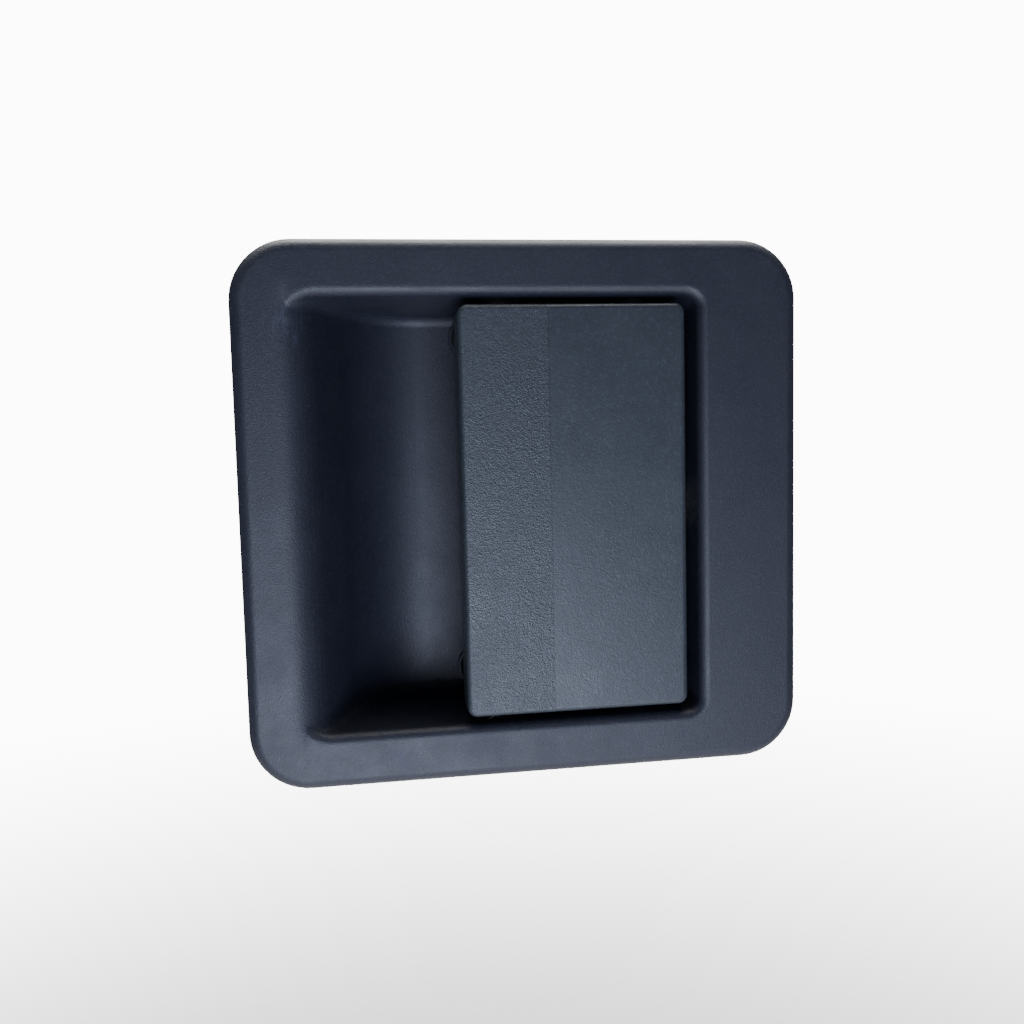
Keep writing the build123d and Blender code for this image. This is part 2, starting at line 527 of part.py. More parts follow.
with BuildPart() as crank_screw:
    disc_group(Mode.ADD, CRANK, THREAD_R, THREAD_Y0, CRANK_BOSS_Y)
    disc_group(Mode.ADD, CRANK, SHOULDER_R, CRANK_BOSS_Y, SHOULDER_Y1)
    disc_group(Mode.ADD, CRANK, HEAD_R, SHOULDER_Y1, SHOULDER_Y1 + HEAD_T)
    crown = [e for e in crank_screw.edges() if e.center().Y > SHOULDER_Y1 + HEAD_T - 0.01]
    fillet(crown, 1.2)
    with BuildSketch(at_y(SHOULDER_Y1 + HEAD_T)):
        with Locations(*CRANK):
            RegularPolygon(HEX_R, 6)
    extrude(amount=HEX_DEPTH, mode=Mode.SUBTRACT)
save(crank_screw, "bellcrank_screw")

with BuildPart() as washer:
    disc_group(Mode.ADD, CRANK, WASHER_R, CRANK_BOSS_Y, CRANK_BOSS_Y + WASHER_T)
    disc_group(Mode.SUBTRACT, CRANK, SHOULDER_R + RUNNING, CRANK_BOSS_Y - 1, CRANK_BOSS_Y + 2)
save(washer, "bellcrank_washer")

with BuildPart() as crank_bush:
    disc_group(Mode.ADD, CRANK, CRANK_BUSH_FLANGE_R, CRANK_BUSH_Y0, CRANK_Y)
    disc_group(Mode.ADD, CRANK, CRANK_BUSH_R, CRANK_Y, CRANK_BUSH_Y1)
    disc_group(Mode.SUBTRACT, CRANK, SHOULDER_R + RUNNING, CRANK_BUSH_Y0 - 1, CRANK_BUSH_Y1 + 1)
save(crank_bush, "bellcrank_bush")

with BuildPart() as crank:
    with BuildSketch(at_y(CRANK_Y + CRANK_T)):
        web((CRANK_X, CRANK_Z), 8.0, (CONTACT_X, CONTACT_Z), 4.0)
        web((CRANK_X, CRANK_Z), 8.0, (ROD_X, ROD_Z), 5.0)
        with Locations(*CRANK):
            Circle(CRANK_BUSH_R, mode=Mode.SUBTRACT)
        with Locations(*CONTACT):
            Circle(PIN_SHAFT_R, mode=Mode.SUBTRACT)
        with Locations(*ROD):
            Circle(CLIP_BARREL_R + RUNNING, mode=Mode.SUBTRACT)
    extrude(amount=CRANK_T)
save(crank, "bellcrank")

with BuildPart() as contact_pin:
    disc_group(Mode.ADD, CONTACT, PIN_SHAFT_R, SLEEVE_Y0, CRANK_Y + CRANK_T)
    disc_group(Mode.ADD, CONTACT, PIN_HEAD_R, SLEEVE_Y0 - PIN_HEAD_T, SLEEVE_Y0)
    disc_group(Mode.ADD, CONTACT, PIN_HEAD_R, CRANK_Y + CRANK_T, CRANK_Y + CRANK_T + PIN_HEAD_T)
save(contact_pin, "contact_pin")

with BuildPart() as contact_sleeve:
    disc_group(Mode.ADD, CONTACT, CONTACT_R, SLEEVE_Y0, SLEEVE_Y1)
    disc_group(Mode.SUBTRACT, CONTACT, PIN_SHAFT_R, SLEEVE_Y0 - 1, SLEEVE_Y1 + 1)
save(contact_sleeve, "contact_sleeve")

# ---------------------------------------------------------------- clip that takes the latch rod
ROD_R = 2.0
COLLAR_R, COLLAR_T = 3.7, 0.8
CLIP_FLANGE_R, CLIP_FLANGE_T = 4.6, 1.2
CRADLE_R, CRADLE_Y, CRADLE_TOP, CRADLE_BOTTOM = 3.8, 40.0, 7.0, 15.0
STRAP_W = 4.6
PLATE_BACK_Y = CRANK_Y + CRANK_T + RUNNING
with BuildPart() as rod_clip:
    disc_group(Mode.ADD, ROD, COLLAR_R, CRANK_Y - RUNNING - COLLAR_T, CRANK_Y - RUNNING)
    disc_group(Mode.ADD, ROD, CLIP_BARREL_R, CRANK_Y - RUNNING, PLATE_BACK_Y)
    disc_group(Mode.ADD, ROD, CLIP_FLANGE_R, PLATE_BACK_Y, PLATE_BACK_Y + CLIP_FLANGE_T)
    with BuildSketch(at_y(PLATE_BACK_Y + CLIP_FLANGE_T)):
        with Locations((ROD_X, ROD_Z - CRADLE_BOTTOM / 2)):
            Rectangle(STRAP_W, CRADLE_BOTTOM)
    extrude(amount=CLIP_FLANGE_T)
    with BuildSketch(Plane.XY.offset(ROD_Z - CRADLE_BOTTOM)):
        with Locations((ROD_X, CRADLE_Y)):
            Circle(CRADLE_R)
        with Locations((ROD_X, (PLATE_BACK_Y + CRADLE_Y) / 2)):
            Rectangle(STRAP_W, CRADLE_Y - PLATE_BACK_Y)
        with Locations((ROD_X, CRADLE_Y)):
            Circle(ROD_R, mode=Mode.SUBTRACT)
        with Locations((ROD_X, CRADLE_Y + 3)):
            Rectangle(2.8, 6, mode=Mode.SUBTRACT)
    extrude(amount=CRADLE_BOTTOM - CRADLE_TOP)
    disc_group(Mode.SUBTRACT, ROD, ROD_R, CRANK_Y - 2, PLATE_BACK_Y + CLIP_FLANGE_T + 1)
save(rod_clip, "rod_clip")
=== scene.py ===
"""Looks of the flush paddle door handle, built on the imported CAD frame.

Metres throughout, in the CAD frame: X right, Y into the door, Z up, origin in the middle of the
flange on the door's outer skin.
"""

import json
import math

import bmesh
import bpy
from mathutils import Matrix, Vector


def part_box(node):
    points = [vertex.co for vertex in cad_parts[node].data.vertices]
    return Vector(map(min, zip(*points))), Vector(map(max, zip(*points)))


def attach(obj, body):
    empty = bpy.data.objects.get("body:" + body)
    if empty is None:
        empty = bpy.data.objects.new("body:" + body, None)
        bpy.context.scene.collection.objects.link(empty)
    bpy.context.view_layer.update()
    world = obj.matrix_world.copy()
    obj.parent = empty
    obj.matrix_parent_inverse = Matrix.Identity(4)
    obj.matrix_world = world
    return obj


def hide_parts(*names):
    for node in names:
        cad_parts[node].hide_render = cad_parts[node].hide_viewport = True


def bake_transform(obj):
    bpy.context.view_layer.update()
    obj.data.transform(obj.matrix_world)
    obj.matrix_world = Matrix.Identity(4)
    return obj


MM = 0.001
X, Y, Z = Vector((1, 0, 0)), Vector((0, 1, 0)), Vector((0, 0, 1))
WELD = 1e-6  # joins the doubled points of a carried-over mesh

# ---------------------------------------------------------------- camera
camera_data = bpy.data.cameras.new("camera")
camera_data.lens = 35.16
camera_data.sensor_width = 36.0
camera_data.clip_start = 0.01
camera = bpy.data.objects.new("camera", camera_data)
camera.location = (-0.0416, -0.2517, 0.0229)
camera.rotation_euler = (math.radians(84.80), math.radians(1.38), math.radians(-8.73))
bpy.context.scene.collection.objects.link(camera)
bpy.context.scene.camera = camera

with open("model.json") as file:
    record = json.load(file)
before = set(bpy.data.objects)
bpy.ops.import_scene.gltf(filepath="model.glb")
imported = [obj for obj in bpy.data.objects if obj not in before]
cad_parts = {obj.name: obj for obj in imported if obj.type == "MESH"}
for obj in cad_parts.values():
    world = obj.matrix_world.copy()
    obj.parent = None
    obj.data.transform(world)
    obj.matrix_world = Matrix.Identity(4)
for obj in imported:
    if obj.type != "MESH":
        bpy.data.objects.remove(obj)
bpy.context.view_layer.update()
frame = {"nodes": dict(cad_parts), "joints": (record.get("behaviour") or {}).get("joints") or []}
NODES = frame["nodes"]


# ---------------------------------------------------------------- node helpers
class Graph:
    """A short way to write a material's nodes."""

    def __init__(self, name):
        self.material = bpy.data.materials.new(name)
        self.material.use_nodes = True
        self.tree = self.material.node_tree
        self.shader = self.tree.nodes["Principled BSDF"]
        coords = self.tree.nodes.new("ShaderNodeTexCoord")
        self.place = coords.outputs["Object"]

    def put(self, socket, value):
        if isinstance(value, bpy.types.NodeSocket):
            self.tree.links.new(value, socket)
        elif value is not None:
            socket.default_value = value

    def math(self, operation, a, b=None):
        node = self.tree.nodes.new("ShaderNodeMath")
        node.operation = operation
        self.put(node.inputs[0], a)
        self.put(node.inputs[1], b)
        return node.outputs[0]

    def stretch(self, scale):
        """The object's coordinates, scaled differently along each axis."""
        node = self.tree.nodes.new("ShaderNodeMapping")
        self.put(node.inputs["Vector"], self.place)
        node.inputs["Scale"].default_value = scale
        return node.outputs[0]

    def noise(self, scale, detail=2.0, roughness=0.5, place=None, distortion=0.0):
        node = self.tree.nodes.new("ShaderNodeTexNoise")
        self.put(node.inputs["Vector"], place or self.place)
        node.inputs["Scale"].default_value = scale
        node.inputs["Detail"].default_value = detail
        node.inputs["Roughness"].default_value = roughness
        node.inputs["Distortion"].default_value = distortion
        return node.outputs["Fac"]

    def cells(self, scale):
        node = self.tree.nodes.new("ShaderNodeTexVoronoi")
        self.put(node.inputs["Vector"], self.place)
        node.inputs["Scale"].default_value = scale
        return node.outputs["Distance"]

    def spread(self, value, low, high, to_low=0.0, to_high=1.0):
        """Maps low..high to to_low..to_high, smoothly and with clamped ends."""
        node = self.tree.nodes.new("ShaderNodeMapRange")
        node.interpolation_type = "SMOOTHSTEP"
        self.put(node.inputs["Value"], value)
        node.inputs["From Min"].default_value = low
        node.inputs["From Max"].default_value = high
        node.inputs["To Min"].default_value = to_low
        node.inputs["To Max"].default_value = to_high
        return node.outputs["Result"]

    def blend(self, factor, a, b):
        node = self.tree.nodes.new("ShaderNodeMix")
        node.data_type = "RGBA"
        self.put(node.inputs[0], factor)
        self.put(node.inputs[6], a)
        self.put(node.inputs[7], b)
        return node.outputs[2]

    def axis(self, index):
        node = self.tree.nodes.new("ShaderNodeSeparateXYZ")
        self.put(node.inputs[0], self.place)
        return node.outputs[index]

    def near(self, centre, radius):
        """1 at a point of the object, falling to 0 at the radius."""
        node = self.tree.nodes.new("ShaderNodeVectorMath")
        node.operation = "DISTANCE"
        self.put(node.inputs[0], self.place)
        node.inputs[1].default_value = centre
        return self.spread(node.outputs["Value"], radius, 0.0)

    def bump(self, height, distance, strength=1.0, normal=None):
        node = self.tree.nodes.new("ShaderNodeBump")
        self.put(node.inputs["Height"], height)
        self.put(node.inputs["Strength"], strength)
        node.inputs["Distance"].default_value = distance
        self.put(node.inputs["Normal"], normal)
        return node.outputs["Normal"]

    def finish(self, colour, roughness, normal=None, **others):
        self.put(self.shader.inputs["Base Color"], colour)
        self.put(self.shader.inputs["Roughness"], roughness)
        self.put(self.shader.inputs["Normal"], normal)
        for name, value in others.items():
            self.put(self.shader.inputs[name.replace("_", " ")], value)
        return self.material


def rgb(r, g, b):
    return (r, g, b, 1.0)


# ---------------------------------------------------------------- materials
def moulded(name, dark, light, grain, grain_depth, rough_low, rough_high, scuffs=(), grip=None):
    """Grained, slightly satin moulded plastic: fine pits, soft mottling, light handling marks.

    Scuffs are (centre, radius). Grip is (x of the edge, grain strength left of it, right of it).
    """
    g = Graph(name)
    mottle = g.noise(35.0, 3.0, 0.6)
    flecks = g.spread(g.noise(grain * 0.45, 2.0, 0.6), 0.50, 0.72)
    base = g.blend(mottle, rgb(*dark), rgb(*light))
    hairs = g.noise(260.0, 2.0, 0.7, g.stretch((1.0, 1.0, 14.0)), 0.4)
    cross = g.noise(240.0, 2.0, 0.7, g.stretch((12.0, 1.0, 1.5)), 0.3)
    lines = g.math("MAXIMUM", g.spread(hairs, 0.70, 0.74), g.spread(cross, 0.71, 0.75))
    patches = g.spread(g.noise(22.0, 2.0), 0.50, 0.66)
    wear = g.math("MULTIPLY", lines, patches)
    for centre, radius in scuffs:
        rub = g.spread(g.noise(700.0, 3.0, 0.7, g.stretch((1.0, 1.0, 0.25))), 0.47, 0.62)
        wear = g.math("MAXIMUM", wear, g.math("MULTIPLY", rub, g.near(centre, radius)))
    colour = g.blend(g.math("MULTIPLY", wear, 0.5), base, rgb(*[3.2 * c for c in light]))
    colour = g.blend(g.math("MULTIPLY", flecks, 0.30), colour, rgb(*[2.4 * c for c in light]))
    fine = g.cells(grain)
    soft = g.noise(grain * 0.5, 3.0, 0.7)
    strength = 1.0
    if grip:
        edge, coarse, calm = grip
        side = g.spread(g.axis(0), edge - 0.0001, edge + 0.0001)
        strength = g.spread(side, 0.0, 1.0, coarse, calm)
    grained = g.bump(fine, grain_depth, strength)
    normal = g.bump(soft, grain_depth * 1.6, strength, grained)
    rough = g.spread(g.noise(90.0, 3.0, 0.6), 0.3, 0.7, rough_low, rough_high)
    rough = g.math("ADD", rough, g.math("MULTIPLY", wear, 0.08))
    return g.finish(colour, rough, normal, Specular_IOR_Level=0.5)


def rubber(name, tone, dustiness):
    """Matt black rubber with a fine texture and a little dust."""
    g = Graph(name)
    dust = g.spread(g.noise(240.0, 4.0, 0.7), 0.5, 0.8)
    dusted = g.math("MULTIPLY", dust, dustiness)
    colour = g.blend(dusted, rgb(tone, tone, tone * 1.05), rgb(0.07, 0.068, 0.064))
    normal = g.bump(g.noise(1800.0, 3.0, 0.7), 0.00006, 0.8)
    rough = g.spread(g.noise(200.0, 2.0), 0.3, 0.7, 0.62, 0.85)
    return g.finish(colour, rough, normal)


def metal(name, tone, tint, rough_low, rough_high, grain_scale, grain_depth, direction=(1, 1, 1)):
    """Bare or plated metal: directional grain, soft clouds and a few dull spots."""
    g = Graph(name)
    grain = g.noise(grain_scale, 3.0, 0.6, g.stretch(direction))
    cloud = g.noise(70.0, 4.0, 0.65)
    colour = g.blend(g.spread(cloud, 0.35, 0.7), rgb(*tone), rgb(*tint))
    spots = g.spread(g.noise(420.0, 3.0, 0.7), 0.63, 0.72)
    colour = g.blend(g.math("MULTIPLY", spots, 0.3), colour, rgb(0.16, 0.14, 0.12))
    rough = g.spread(grain, 0.25, 0.75, rough_low, rough_high)
    rough = g.math("ADD", rough, g.math("MULTIPLY", spots, 0.2))
    return g.finish(colour, rough, g.bump(grain, grain_depth, 0.7), Metallic=1.0)


def nylon(name, tone, tint):
    """Natural nylon: slightly translucent, with some grime."""
    g = Graph(name)
    cloud = g.spread(g.noise(110.0, 3.0, 0.6), 0.35, 0.7)
    colour = g.blend(cloud, rgb(*tone), rgb(*tint))
    grime = g.spread(g.noise(300.0, 3.0, 0.7), 0.55, 0.72)
    colour = g.blend(g.math("MULTIPLY", grime, 0.35), colour, rgb(0.25, 0.23, 0.2))
    rough = g.spread(g.noise(500.0, 2.0), 0.3, 0.7, 0.35, 0.55)
    normal = g.bump(g.noise(1500.0, 2.0, 0.6), 0.00002, 0.6)
    return g.finish(colour, rough, normal, Subsurface_Weight=0.1, Subsurface_Scale=0.001)


SCUFFS = [  # rubbed places on the flange's front, in the part's own coordinates
    ((-0.008, -0.006, -0.0605), 0.006),
    ((-0.034, -0.006, -0.0600), 0.007),
    ((-0.058, -0.006, 0.047), 0.008),
]
BEZEL = moulded(
    "bezel_plastic",
    dark=(0.010, 0.012, 0.020),
    light=(0.015, 0.017, 0.028),
    grain=3600.0,
    grain_depth=0.00004,
    rough_low=0.45,
    rough_high=0.53,
    scuffs=SCUFFS,
)
PADDLE = moulded(
    "paddle_plastic",
    dark=(0.021, 0.027, 0.034),
    light=(0.027, 0.034, 0.042),
    grain=3000.0,
    grain_depth=0.00004,
    rough_low=0.36,
    rough_high=0.44,
    grip=(0.0056, 1.7, 0.6),
)
GASKET = rubber("gasket_rubber", 0.018, 0.22)
BUMPER = rubber("bumper_rubber", 0.007, 0.05)
ZINC = metal("zinc_steel", (0.60, 0.61, 0.60), (0.68, 0.67, 0.62), 0.22, 0.40, 500.0, 0.00001)
PIN = metal("pin_steel", (0.52, 0.52, 0.53), (0.60, 0.60, 0.60), 0.18, 0.34, 900.0, 0.000008, (1, 1, 9))
SPRING = metal("spring_steel", (0.30, 0.30, 0.31), (0.42, 0.41, 0.40), 0.28, 0.42, 800.0, 0.00001)
CAST = metal("cast_zinc", (0.42, 0.43, 0.45), (0.52, 0.53, 0.54), 0.42, 0.62, 900.0, 0.00005)
BRASS = metal("brass", (0.62, 0.44, 0.20), (0.72, 0.53, 0.27), 0.25, 0.4, 700.0, 0.00001)
WHITE = nylon("white_nylon", (0.62, 0.61, 0.56), (0.72, 0.71, 0.67))
CLIP = nylon("clip_nylon", (0.50, 0.49, 0.43), (0.60, 0.59, 0.53))

FINISH = {
    "bezel": BEZEL,
    "paddle": PADDLE,
    "flange_gasket": GASKET,
    "rest_bumpers": BUMPER,
    "mounting_studs": ZINC,
    "bellcrank_screw": ZINC,
    "bellcrank_washer": ZINC,
    "lever_screws": ZINC,
    "bellcrank": ZINC,
    "hinge_pin": PIN,
    "contact_pin": PIN,
    "hinge_clips": SPRING,
    "paddle_spring": SPRING,
    "bellcrank_spring": SPRING,
    "paddle_lever": CAST,
    "bellcrank_insert": BRASS,
    "arm_tip_cap": WHITE,
    "hinge_bushes": WHITE,
    "bellcrank_bush": WHITE,
    "contact_sleeve": WHITE,
    "rod_clip": CLIP,
}
for name, material in FINISH.items():
    mesh = NODES[name].data
    mesh.materials.clear()
    mesh.materials.append(material)


# ---------------------------------------------------------------- pieces built here
def make_object(name, form, body, material):
    """Turns a form into a smooth-shaded piece; a piece with a body rides on it."""
    mesh = bpy.data.meshes.new(name)
    form.to_mesh(mesh)
    form.free()
    for polygon in mesh.polygons:
        polygon.use_smooth = True
    mesh.materials.append(material)
    made = bpy.data.objects.new(name, mesh)
    bpy.context.scene.collection.objects.link(made)
    if body:
        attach(made, body)
    return made


def copy_of(name):
    """A CAD part's mesh in the frame, with its doubled points joined."""
    form = bmesh.new()
    form.from_mesh(NODES[name].data)
    form.transform(NODES[name].matrix_world)
    bmesh.ops.remove_doubles(form, verts=form.verts, dist=WELD)
    return form


def crease(form, angle_deg):
    """Marks the edges that stay sharp in the shading."""
    for edge in form.edges:
        edge.smooth = edge.calc_face_angle(0.0) < math.radians(angle_deg)


def flatten_faces(made):
    """Lets the large flat faces set the shading of the points they share with small ones."""
    weighted = made.modifiers.new("flat_faces", "WEIGHTED_NORMAL")
    weighted.keep_sharp = True


FLAT_DEG = 0.4  # faces that differ by less are joined before the edges are broken
BREAK_DEG = 38  # edges sharper than this are broken
CREASE_DEG, ROLL_CREASE_DEG = 40, 35  # edges sharper than this stay creased in the shading


def soften(name, body, width_mm):
    """Stands in for a CAD part with the same shape and its sharp edges broken by a small round."""
    form = copy_of(name)
    flat = math.radians(FLAT_DEG)
    bmesh.ops.dissolve_limit(form, angle_limit=flat, verts=form.verts, edges=form.edges)
    sharp = [e for e in form.edges if e.calc_face_angle(0.0) > math.radians(BREAK_DEG)]
    bmesh.ops.bevel(
        form,
        geom=sharp,
        offset=width_mm * MM,
        offset_type="OFFSET",
        segments=2,
        profile=0.5,
        affect="EDGES",
        clamp_overlap=True,
    )
    crease(form, CREASE_DEG)
    made = make_object(name + "_deburred", form, body, FINISH[name])
    flatten_faces(made)
    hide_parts(name)


def ease(value, low, high):
    """0 below low, 1 above high, smooth between."""
    t = min(1.0, max(0.0, (value - low) / (high - low)))
    return t * t * (3 - 2 * t)


FLANGE_FRONT_Y = -6.0 * MM
ROLL_X, ROLL_R, ROLL_START = -58.0 * MM, 16.0 * MM, math.radians(28)  # the CAD's arc into the scoop
FLOW_X0, FLOW_X1 = -65.0 * MM, -52.9 * MM  # where the smooth start leaves the flange, meets the arc
FLOW_Z0, FLOW_Z1 = 49.0 * MM, 58.5 * MM  # the reshaping fades out between these heights
SKIN_NEAR, SKIN_FAR = 0.3 * MM, 2.2 * MM  # and between these depths behind the front surface
CUT_LIMIT_X, CUT_STEP_X = -48.0 * MM, 0.5 * MM  # added points: only left of the limit, this far apart
CUT_Z, CUT_STEP_Z = 47.5 * MM, 1.0 * MM
CUT_SNAP = 1e-7
RIM_ALLOWANCE, RIM_REACH = 0.12 * MM, 1.2 * MM  # how far the CAD's rim round departs from the arc


def roll_y(x):
    """Depth of the CAD's flange and roll, without the rim's round."""
    if x < ROLL_X:
        return FLANGE_FRONT_Y
    slope = math.asin(min(0.99, math.sin(ROLL_START) + (x - ROLL_X) / ROLL_R))
    return FLANGE_FRONT_Y + ROLL_R * (math.cos(ROLL_START) - math.cos(slope))


def flowing_y(x):
    """Depth of a start that leaves the flange flush and meets the roll's depth and slope."""
    drop, run = roll_y(FLOW_X1) - FLANGE_FRONT_Y, FLOW_X1 - FLOW_X0
    slope = math.tan(math.asin(math.sin(ROLL_START) + (FLOW_X1 - ROLL_X) / ROLL_R))
    return FLANGE_FRONT_Y + drop * ((x - FLOW_X0) / run) ** (slope * run / drop)


def soft_roll():
    """The bezel with the start of the scoop's roll flowing out of the flange without a crease."""
    form = copy_of("bezel")
    columns = int((FLOW_X1 - FLOW_X0) / CUT_STEP_X)
    rows = round((FLOW_Z1 - CUT_Z) / CUT_STEP_Z)
    cuts = [(FLOW_X0 + i * CUT_STEP_X, X) for i in range(1, columns + 1)]
    for side in (-1, 1):
        cuts += [(side * (CUT_Z + i * CUT_STEP_Z), Z) for i in range(rows + 1)]
    for place, normal in cuts:
        faces = [f for f in form.faces if min(v.co.x for v in f.verts) < CUT_LIMIT_X]
        edges = dict.fromkeys(e for f in faces for e in f.edges)
        verts = dict.fromkeys(v for f in faces for v in f.verts)
        geom = faces + list(edges) + list(verts)
        point = normal * place
        bmesh.ops.bisect_plane(form, geom=geom, dist=CUT_SNAP, plane_co=point, plane_no=normal)
    for vert in form.verts:
        x, y, z = vert.co
        if not FLOW_X0 < x < FLOW_X1:
            continue
        front_only = 1 - ease(y - roll_y(x), SKIN_NEAR, SKIN_FAR)
        inside_mouth = 1 - ease(abs(z), FLOW_Z0, FLOW_Z1)
        rounding = RIM_ALLOWANCE * max(0.0, 1 - abs(x - ROLL_X) / RIM_REACH)
        move = min(flowing_y(x) - y, flowing_y(x) - roll_y(x) + rounding)
        vert.co.y += max(0.0, move) * front_only * inside_mouth
    crease(form, ROLL_CREASE_DEG)
    made = make_object("bezel_soft_roll", form, "housing", BEZEL)
    flatten_faces(made)
    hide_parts("bezel")


def skin(form, rings):
    """Joins rings of points into a closed tube with flat ends."""
    loops = [[form.verts.new(p) for p in ring] for ring in rings]
    count = len(loops[0])
    for a, b in zip(loops, loops[1:]):
        for i in range(count):
            j = (i + 1) % count
            form.faces.new((a[i], a[j], b[j], b[i]))
    form.faces.new(list(reversed(loops[0])))
    form.faces.new(loops[-1])


WIRE_SIDES, STEPS_PER_TURN = 16, 40
DOME = ((0.45, 0.89), (0.8, 0.6), (0.98, 0.2))  # distance past a wire's end and size, in wire radii


def wire(form, path, radius):
    """A round wire along a path of points, with domed ends."""
    path = [Vector(p) for p in path]
    along = [(b - a).normalized() for a, b in zip(path, path[1:])]
    tangents = [along[0]] + [(a + b).normalized() for a, b in zip(along, along[1:])] + [along[-1]]
    across = tangents[0].orthogonal().normalized()
    turns = [2 * math.pi * i / WIRE_SIDES for i in range(WIRE_SIDES)]
    rings = []

    def ring(centre, tangent, size):
        up = tangent.cross(across)
        return [centre + size * radius * (across * math.cos(t) + up * math.sin(t)) for t in turns]

    for place, tangent in zip(path, tangents):
        across = (across - tangent * across.dot(tangent)).normalized()
        if not rings:
            for past, size in reversed(DOME):
                rings.append(ring(place - tangent * radius * past, tangent, size))
        rings.append(ring(place, tangent, 1.0))
    for past, size in DOME:
        rings.append(ring(path[-1] + tangents[-1] * radius * past, tangents[-1], size))
    skin(form, rings)


def winding(centre, u, v, axis, radius, turns, pitch):
    """Points of a wound wire that starts on u and turns towards v as it climbs along axis."""
    steps = round(turns * STEPS_PER_TURN)
    out = []
    for i in range(steps + 1):
        angle = 2 * math.pi * turns * i / steps
        place = centre + radius * (u * math.cos(angle) + v * math.sin(angle))
        out.append(place + axis * pitch * turns * i / steps)
    return out


PLACES = {joint["name"]: Vector(joint["pos_m"]) for joint in frame["joints"]}
WIRE_R = 0.6 * MM
PITCH = 1.5 * MM
BEND_R = 0.62 * MM  # the ball of the CAD spring's bends

# the paddle's return spring: one leg in the bezel, one leg in front of the lever's plate
PADDLE_COIL_R, PADDLE_TURNS = 4.0 * MM, 7.25
hinge = PLACES["paddle_hinge"]
low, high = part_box("paddle_spring")
foot = Vector((hinge.x, hinge.y, high.z - BEND_R - PADDLE_TURNS * PITCH))
coil = winding(foot, X, -Y, Z, PADDLE_COIL_R, PADDLE_TURNS, PITCH)
leg_back = Vector((coil[0].x, high.y - WIRE_R, coil[0].z))
leg_out = Vector((low.x + WIRE_R, coil[-1].y, coil[-1].z))
form = bmesh.new()
wire(form, [leg_back] + coil + [leg_out], WIRE_R)
paddle_spring = make_object("paddle_spring_wound", form, None, SPRING)
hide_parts("paddle_spring")
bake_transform(paddle_spring)

# the bellcrank's return spring: one leg beside the bezel's post, one on the contact sleeve
CRANK_COIL_R, CRANK_FULL_TURNS, LEG_GAP = 8.0 * MM, 4, 0.1 * MM
turn = PLACES["bellcrank_turn"]
low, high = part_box("bellcrank_spring")
sleeve_low, sleeve_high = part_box("contact_sleeve")
sleeve = (sleeve_low + sleeve_high) / 2
foot = Vector((turn.x, low.y + WIRE_R, turn.z))
lean = Vector((sleeve_low.x - WIRE_R - LEG_GAP - turn.x, 0, sleeve.z - turn.z))
tangent_turn = math.atan2(lean.x, lean.z) - math.acos(CRANK_COIL_R / lean.length)
crank_turns = CRANK_FULL_TURNS + (math.pi / 2 + tangent_turn) / (2 * math.pi)
coil = winding(foot, -X, Z, Y, CRANK_COIL_R, crank_turns, PITCH)
leg_down = Vector((coil[0].x, coil[0].y, low.z + WIRE_R))
leg_up = Vector((turn.x + lean.x, coil[-1].y, turn.z + lean.z))
form = bmesh.new()
wire(form, [leg_down] + coil + [leg_up], WIRE_R)
crank_spring = make_object("bellcrank_spring_wound", form, None, SPRING)
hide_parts("bellcrank_spring")
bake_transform(crank_spring)

soft_roll()

# parts whose broken edges show, with the width of the break in millimetres
soften("bellcrank", "bellcrank", 0.25)
soften("bellcrank_bush", "bellcrank", 0.12)
soften("contact_sleeve", "bellcrank", 0.15)
soften("rod_clip", "rod_clip", 0.18)
soften("bellcrank_washer", "housing", 0.1)
soften("bellcrank_screw", "housing", 0.12)
soften("flange_gasket", "housing", 0.25)
soften("hinge_pin", "housing", 0.15)
soften("paddle_lever", "paddle", 0.3)

# the mounting studs: head, knurled collar and rolled thread
STUD_SIDES = 48
HEAD_R, HEAD_EDGE_R, HEAD_T = 4.4 * MM, 4.1 * MM, 2.0 * MM
KNURL_R, KNURL_ROOT_R, COLLAR_Y = 2.8 * MM, 2.62 * MM, 0.3 * MM
THREAD_R, THREAD_ROOT_R, THREAD_TIP_CUT = 2.5 * MM, 2.06 * MM, 0.35 * MM
THREAD_PITCH, RINGS_PER_PITCH = 0.8 * MM, 10
THREAD_RUN_IN, THREAD_RUN_OUT = 1.2 * MM, 1.1 * MM
STUD_ANGLES = [2 * math.pi * i / STUD_SIDES for i in range(STUD_SIDES)]


def knurl(angle):
    return KNURL_R if round(angle / (2 * math.pi) * STUD_SIDES) % 2 else KNURL_ROOT_R


def thread(angle, y, fullness):
    """Radius of the rolled thread; fullness goes from 0 at its run-out to 1."""
    phase = (y / THREAD_PITCH + angle / (2 * math.pi)) % 1.0
    crest = min(1.0, max(0.0, 1.6 - 4.2 * abs(phase - 0.5)))
    root = THREAD_ROOT_R - (1 - fullness) * THREAD_TIP_CUT
    return root + (THREAD_R - THREAD_ROOT_R) * crest * fullness


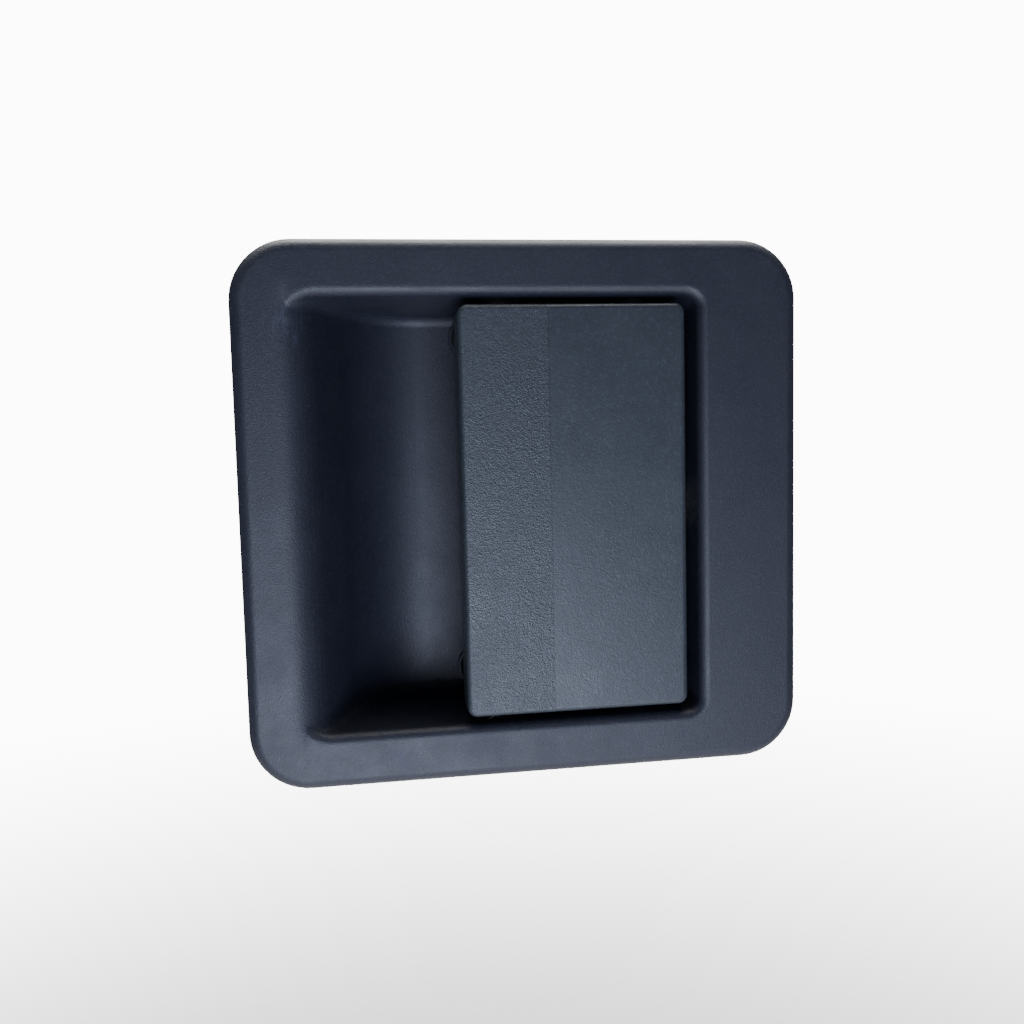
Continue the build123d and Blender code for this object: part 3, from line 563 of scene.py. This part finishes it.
def stud(form, x, z, head_y, end_y):
    """One stud along Y, as rings round its axis."""

    def ring(y, radius):
        sizes = [radius(a) if callable(radius) else radius for a in STUD_ANGLES]
        return [(x + r * math.cos(a), y, z + r * math.sin(a)) for a, r in zip(STUD_ANGLES, sizes)]

    shoulder_y = head_y + HEAD_T
    rings = [ring(head_y, HEAD_EDGE_R), ring(head_y + 0.3 * MM, HEAD_R)]
    rings += [ring(shoulder_y - 0.2 * MM, HEAD_R), ring(shoulder_y, HEAD_R - 0.2 * MM)]
    rings += [ring(shoulder_y, knurl), ring(COLLAR_Y - 0.15 * MM, knurl)]
    rings.append(ring(COLLAR_Y, THREAD_R - 0.1 * MM))
    steps = int((end_y - COLLAR_Y) / (THREAD_PITCH / RINGS_PER_PITCH))
    for i in range(1, steps + 1):
        y = COLLAR_Y + (end_y - COLLAR_Y) * i / steps
        fullness = min(1.0, (y - COLLAR_Y) / THREAD_RUN_IN, (end_y - y) / THREAD_RUN_OUT)
        rings.append(ring(y, lambda a, y=y, fullness=fullness: thread(a, y, fullness)))
    skin(form, rings)


low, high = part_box("mounting_studs")
form = bmesh.new()
for x in (low.x + HEAD_R, high.x - HEAD_R):
    for z in (low.z + HEAD_R, high.z - HEAD_R):
        stud(form, x, z, low.y, high.y)
bmesh.ops.recalc_face_normals(form, faces=form.faces)
studs = make_object("mounting_studs_threaded", form, "housing", ZINC)
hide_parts("mounting_studs")

# ---------------------------------------------------------------- floor and light
FLOOR_R, FLOOR_Z = 1.6, -0.42
FLOOR_FADE_FROM, FLOOR_FADE_TO = 0.3, 1.5  # the paper fades into the backdrop over this distance

floor_mesh = bpy.data.meshes.new("floor")
floor_form = bmesh.new()
bmesh.ops.create_circle(floor_form, cap_ends=True, segments=96, radius=FLOOR_R)
floor_form.to_mesh(floor_mesh)
floor_form.free()
floor = bpy.data.objects.new("floor", floor_mesh)
floor.location = (0, 0, FLOOR_Z)
bpy.context.scene.collection.objects.link(floor)
paper = Graph("floor_paper")
paper.finish(rgb(0.82, 0.82, 0.82), 0.9, paper.bump(paper.noise(90.0), 0.0002, 0.2))
away = paper.tree.nodes.new("ShaderNodeVectorMath")
away.operation = "LENGTH"
paper.put(away.inputs[0], paper.place)
fade = paper.spread(away.outputs["Value"], FLOOR_FADE_TO, FLOOR_FADE_FROM)
paper.put(paper.shader.inputs["Alpha"], fade)
floor_mesh.materials.append(paper.material)

world = bpy.data.worlds.new("studio")
world.use_nodes = True
sky = world.node_tree
ambient = sky.nodes["Background"]
ambient.inputs["Color"].default_value = rgb(0.76, 0.82, 1.0)
ambient.inputs["Strength"].default_value = 0.16
backdrop = sky.nodes.new("ShaderNodeBackground")
backdrop.inputs["Color"].default_value = rgb(1.0, 1.0, 1.0)
backdrop.inputs["Strength"].default_value = 12.0
rays = sky.nodes.new("ShaderNodeLightPath")
choose = sky.nodes.new("ShaderNodeMixShader")
sky.links.new(rays.outputs["Is Camera Ray"], choose.inputs[0])
sky.links.new(ambient.outputs[0], choose.inputs[1])
sky.links.new(backdrop.outputs[0], choose.inputs[2])
sky.links.new(choose.outputs[0], sky.nodes["World Output"].inputs["Surface"])
bpy.context.scene.world = world


def softbox(name, place, aim, size, watts, colour=(1.0, 1.0, 1.0)):
    data = bpy.data.lights.new(name, "AREA")
    data.shape = "RECTANGLE"
    data.size, data.size_y = size
    data.energy = watts
    data.color = colour
    lamp = bpy.data.objects.new(name, data)
    lamp.location = place
    lamp.rotation_euler = (Vector(aim) - Vector(place)).to_track_quat("-Z", "Y").to_euler()
    bpy.context.scene.collection.objects.link(lamp)


softbox("key", (-0.04, -0.46, -0.235), (-0.01, 0, -0.02), (0.30, 0.27), 3.3, (0.72, 0.79, 1.0))
softbox("top", (0.05, 0.25, 0.95), (0, 0.1, -0.3), (0.9, 0.9), 25.0)
softbox("back", (0.50, 0.85, 0.35), (0, 0, 0), (0.6, 0.5), 7.0)
